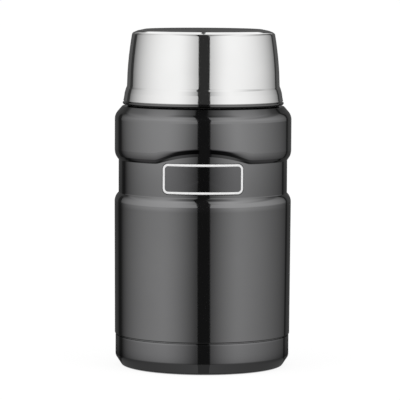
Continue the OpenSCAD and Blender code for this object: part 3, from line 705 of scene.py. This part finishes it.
# A panel's rows run out over the floor by radius in metres, then up a dome by angle in degrees
floor_r = np.array([0.02, 0.06, 0.072, 0.085, 0.096, 0.118, 0.16, 0.24, 0.32, 0.6, 0.9, 1.1, 1.19])
floor_glow = np.array([1.0, 1.0, 0.42, 0.64, 0.8, 0.93, 1.0, 1.0, 1.0, 1.0, 0.97, 0.96, 0.92])
lift = np.array([0.06, 0.5, 0.95, 1.72, 2.4, 3.2, 4, 6, 10, 15, 20, 25, 30, 35, 40, 45, 50, 55, 60, 63, 66,
                 68.5, 71, 73.5, 76, 78, 80, 82, 84, 86, 88, 89.5])
lift_glow = np.interp(lift, [0.06, 0.95, 1.72, 2.4, 55, 65, 71, 80, 90],
                      [0.88, 0.95, 1.05, 1.2, 1.21, 1.1, 0.95, 1.0, 1.1])
row_r = np.concatenate([floor_r, reach * np.cos(np.radians(lift))])
row_z = np.concatenate([np.full(len(floor_r), floor_lift), reach * np.sin(np.radians(lift))])
row_up = np.concatenate([np.full(len(floor_r), -1.0), lift])
row_glow = np.concatenate([floor_glow, lift_glow])[:, None]
high_up, row_far = row_up[:, None], row_r[:, None]
# Both panels are dimmer at the gap low down and above the shoulder; the right one fades sooner than the
# left one
start = np.interp(high_up, [1.8, 4, 6, 30, 34, 44], [0.22, 0.3, 0.56, 0.56, 0.3, 0.45])
full_at = np.interp(high_up, [1.8, 6, 34], [57, 40, 44])
fades = {-1: (46, np.interp(high_up, [1.8, 6, 30, 34], [135, 142, 142, 156]), 2),
         1: (44, 150, np.interp(high_up, [1.8, 4, 6, 30, 34, 40, 46], [1.3, 1.1, 2, 2, 1.1, 1.1, 2]))}
ceiling = np.interp(high_up, [50, 65], [0, 1])
foot = np.interp(row_r, [0.06, 0.072], [1, 0])[:, None] * (high_up < 0)
edge_az = {-1: np.interp(high_up, [19, 26, 46], [132.5, 149, 152]),
           1: np.interp(high_up, [10, 30, 45], [138, 138, 146])}
for side, name, gap in (
        (-1, "left_panel", ([0, 45, 71, 80, 90], [0.13, 0.13, 0.138, 0.08, 0.06])),
        (1, "right_panel", ([0, 30, 60, 71, 80, 90], [0.156, 0.15, 0.08, 0.035, 0.07, 0.06]))):
    up = np.radians(np.maximum(row_up, 0))
    near = np.degrees(np.arcsin(np.clip(np.interp(row_up, *gap) / np.cos(up), 0, 0.9)))[:, None]
    shift = np.interp(row_far, [0.12, 0.4, 0.82, 1.19], [1.7, 1.2, 0.8, 0.4])
    near = near + side * shift * (high_up < 45)
    az = near + (panel_end_az - near) * np.linspace(0, 1, 170)[None]
    glow = soft_panel(az, start, full_at, *fades[side])
    glow = glow * (1 - ceiling) + np.interp(az, [14, 54, 77], [0.08, 0.5, 1.0]) * ceiling
    glow = glow * (1 - foot) + (0.26 - 0.15 * np.clip(az / 131, 0, 1) ** 2) * foot
    # Past its edge a panel is dark, except for its overhanging part behind the jar
    past = np.clip((az - edge_az[side]) / 1.5, 0, 1) * np.clip((66 - high_up) / 12, 0, 1)
    glow = glow * (1 - past) + np.where(az > back_az, cloth_behind, cloth) * past
    over_from = np.interp(high_up, [30, 35, 41, 45, 50, 60], [157, 152, 146, 140, 134, 125])
    over_above = np.interp(az, [160, 166, 170, 175, 180], [20, 31, 38, 44.5, 46.5])
    over = np.clip((az - over_from) / 5, 0, 1) * np.clip((high_up - over_above) / 1.5, 0, 1)
    glow = (glow * (1 - over) + overhang * over) * row_glow
    turn = seen_from_jar(np.radians(az), row_far, high_up)
    x, y = side * row_far * np.sin(turn), -row_far * np.cos(turn)
    points = np.stack([x, y, row_z[:, None] + 0 * az], -1)
    square_on = np.interp(row_far, [0.06, 0.072, 0.08, 0.105, 0.13], [1.0, 0.5, 0.03, 0.03, 0.12])
    hung(name, points, glow, glow * np.where(high_up < 0, square_on, 1.0))

az = np.linspace(-180, 180, 181)[None]
up = np.radians(np.concatenate([[0] * 5, np.linspace(0, 90, 31)]))[:, None]
cloth_reach = reach + cloth_step
r = np.concatenate([[0.02, 0.06, 0.072, 0.6, reach], cloth_reach * np.cos(up[5:, 0])])[:, None]
turn = np.radians(az)
z = np.maximum(cloth_reach * np.sin(up), floor_lift / 2)
points = np.stack([r * np.sin(turn), -r * np.cos(turn), z + 0 * turn], -1)
glow = np.where(np.abs(az) > back_az, cloth_behind, cloth) + 0 * r
glow[:2] = cloth_foot
hung("dark_cloth", points, glow, glow)

floor_half, floor_lines, floor_share, floor_white = 30, 25, 0.8, 1.09
floor_mesh = bpy.data.meshes.new("studio_floor")
line = np.linspace(-floor_half, floor_half, floor_lines)
x, y = np.meshgrid(line, line, indexing="ij")
cell = np.arange(floor_lines - 1)
first = (cell[:, None] * floor_lines + cell[None]).ravel()
faces = np.stack([first, first + floor_lines, first + floor_lines + 1, first + 1], -1)
floor_mesh.from_pydata(np.stack([x, y, 0 * x], -1).reshape(-1, 3).tolist(), [], faces.tolist())
studio_floor = bpy.data.objects.new("studio_floor", floor_mesh)
bpy.context.scene.collection.objects.link(studio_floor)
floor_paint = bpy.data.materials.new("pale_floor")
floor_paint.use_nodes = True
tree = floor_paint.node_tree
tree.nodes.clear()
share = maths(tree, "MULTIPLY", in_sight(tree), floor_share)
matte = node(tree, "ShaderNodeBsdfDiffuse", Color=(0.9, 0.9, 0.9, 1))
white = node(tree, "ShaderNodeEmission", Color=(1, 1, 1, 1), Strength=floor_white)
both = node(tree, "ShaderNodeMixShader", Fac=share)
tree.links.new(matte.outputs[0], both.inputs[1])
tree.links.new(white.outputs[0], both.inputs[2])
out = tree.nodes.new("ShaderNodeOutputMaterial")
tree.links.new(both.outputs[0], out.inputs["Surface"])
floor_mesh.materials.append(floor_paint)

world = bpy.data.worlds.new("white_room")
bpy.context.scene.world = world
world.use_nodes = True
tree = world.node_tree
tree.nodes.clear()
level = node(tree, "ShaderNodeMapRange", Value=in_sight(tree), To_Min=0.75, To_Max=1.0)
sky = node(tree, "ShaderNodeBackground", Color=(1, 1, 1, 1), Strength=level.outputs[0])
out = tree.nodes.new("ShaderNodeOutputWorld")
tree.links.new(sky.outputs[0], out.inputs["Surface"])
world.cycles.sampling_method = "NONE"

softbox_w, softbox_h, softbox_power = 1.0, 1.4, 6.0
for name, side in (("left_softbox", -1), ("right_softbox", 1)):
    light = bpy.data.lights.new(name, "AREA")
    light.shape = "RECTANGLE"
    light.size, light.size_y = softbox_w, softbox_h
    light.energy = softbox_power
    box = bpy.data.objects.new(name, light)
    box.location = (side * 1.3, -1.0, 0.9)
    box.rotation_euler = (1.05, 0, side * 0.92)
    box.visible_glossy = False
    bpy.context.scene.collection.objects.link(box)

camera_data = bpy.data.cameras.new("camera")
camera_data.lens = 265.75
camera_data.sensor_width = 36.0
camera = bpy.data.objects.new("camera", camera_data)
camera.location = (-0.001565, -1.7, 0.23556)
pitch, lean = np.radians(90 - 4.708), np.radians(0.3)
camera.rotation_mode = "QUATERNION"
camera.rotation_quaternion = Quaternion((1, 0, 0), pitch) @ Quaternion((0, 0, 1), lean)
bpy.context.scene.collection.objects.link(camera)
bpy.context.scene.camera = camera
bpy.context.scene.view_settings.view_transform = "Standard"
